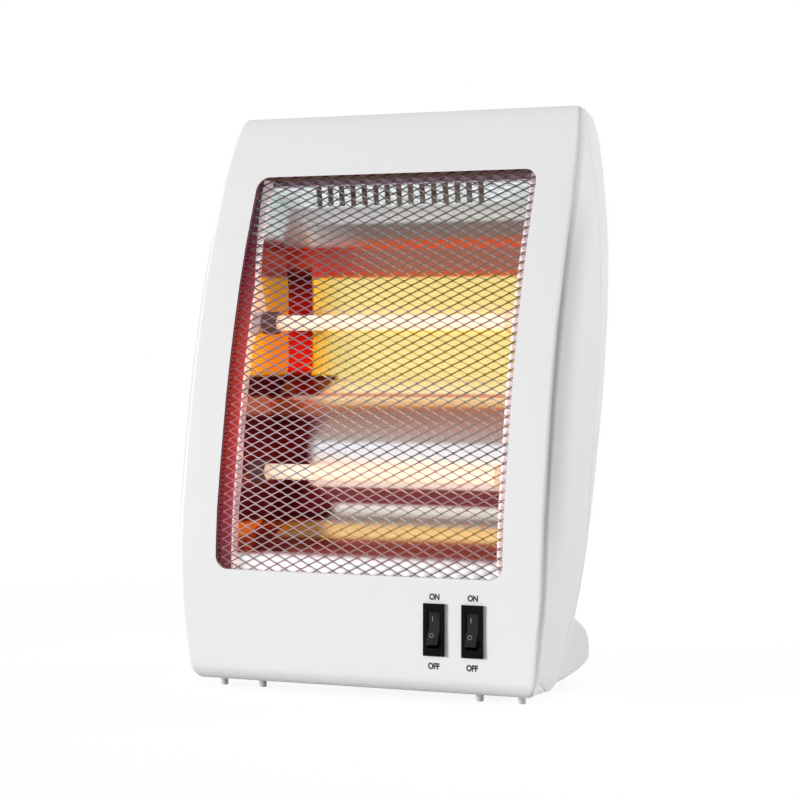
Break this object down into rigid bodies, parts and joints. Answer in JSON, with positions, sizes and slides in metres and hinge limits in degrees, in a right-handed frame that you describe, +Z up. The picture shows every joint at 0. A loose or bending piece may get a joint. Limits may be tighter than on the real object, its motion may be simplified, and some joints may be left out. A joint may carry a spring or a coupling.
{
  "type": "halogen heater",
  "caption": "White upright quartz heater with a bowed front, mesh guard over a polished reflector and glowing tubes, rocker switches and low rear feet.",
  "frame": {"origin": "bottom centre of the bounding box, on the floor", "axes": "+X along the tubes to the heater's left seen from behind, -Y out of the front, +Z up"},
  "size_m": [0.236, 0.1214, 0.345],
  "materials": {
    "white_plastic": "satin moulded",
    "rubber": "matt",
    "black_plastic": "satin",
    "reflector_metal": "polished",
    "guard_wire": "bright",
    "quartz": "clear, glowing",
    "filament": "glowing",
    "ceramic": "matt",
    "nylon": "matt",
    "grey_plastic": "matt",
    "steel": "zinc plated",
    "wire_brown": "matt",
    "wire_red": "matt",
    "wire_grey": "matt",
    "wire_blue": "matt"
  },
  "bodies": {
    "heater": {"cord_inlet_bush": "grey_plastic", "cover_screw_lower_left": "steel", "cover_screw_lower_right": "steel", "cover_screw_upper_left": "steel", "cover_screw_upper_right": "steel", "end_cap_lower_left": "ceramic", "end_cap_lower_right": "ceramic", "end_cap_upper_left": "ceramic", "end_cap_upper_right": "ceramic", "end_plate_left": "reflector_metal", "end_plate_right": "reflector_metal", "filament_lower": "filament", "filament_upper": "filament", "foot_left": "white_plastic", "foot_right": "white_plastic", "foot_screw_left": "steel", "foot_screw_right": "steel", "front_pad_1": "white_plastic", "front_pad_2": "white_plastic", "front_pad_3": "white_plastic", "front_pad_4": "white_plastic", "front_shell": "white_plastic", "guard": "guard_wire", "heat_shield": "steel", "plate_screw_lower_left": "steel", "plate_screw_lower_right": "steel", "plate_screw_upper_left": "steel", "plate_screw_upper_right": "steel", "quartz_tube_lower": "quartz", "quartz_tube_upper": "quartz", "rear_cover": "white_plastic", "rear_pad_left": "rubber", "rear_pad_right": "rubber", "reflector": "reflector_metal", "switch_body_1": "black_plastic", "switch_body_2": "black_plastic", "terminal_block": "ceramic", "thermal_cutout": "steel", "tipover_spring": "steel", "tipover_switch_body": "black_plastic", "tube_clip_lower_left": "steel", "tube_clip_lower_right": "steel", "tube_clip_upper_left": "steel", "tube_clip_upper_right": "steel", "wire_inlet": "wire_brown", "wire_neutral_lower": "wire_blue", "wire_neutral_upper": "wire_blue", "wire_switch_1": "wire_red", "wire_switch_2": "wire_red", "wire_tube_lower": "wire_grey", "wire_tube_upper": "wire_grey"},
    "rocker_one": {"rocker_1": "black_plastic"},
    "rocker_two": {"rocker_2": "black_plastic"},
    "plunger": {"tipover_plunger": "nylon"}
  },
  "joints": [
    {"name": "rocker_one_tilt", "type": "hinge", "parent": "heater", "child": "rocker_one", "pos_m": [0.05015, -0.05409, 0.0423], "axis": [1, 0, 0], "range_deg": [0, 22]},
    {"name": "rocker_two_tilt", "type": "hinge", "parent": "heater", "child": "rocker_two", "pos_m": [0.07375, -0.05409, 0.0423], "axis": [1, 0, 0], "range_deg": [0, 22]},
    {"name": "plunger_drop", "type": "slide", "parent": "heater", "child": "plunger", "axis": [0, 0, -1], "range_m": [0, 0.0035], "stiffness_N_per_m": 60, "springref_m": 0.008, "deforming": ["tipover_spring"]}
  ]
}
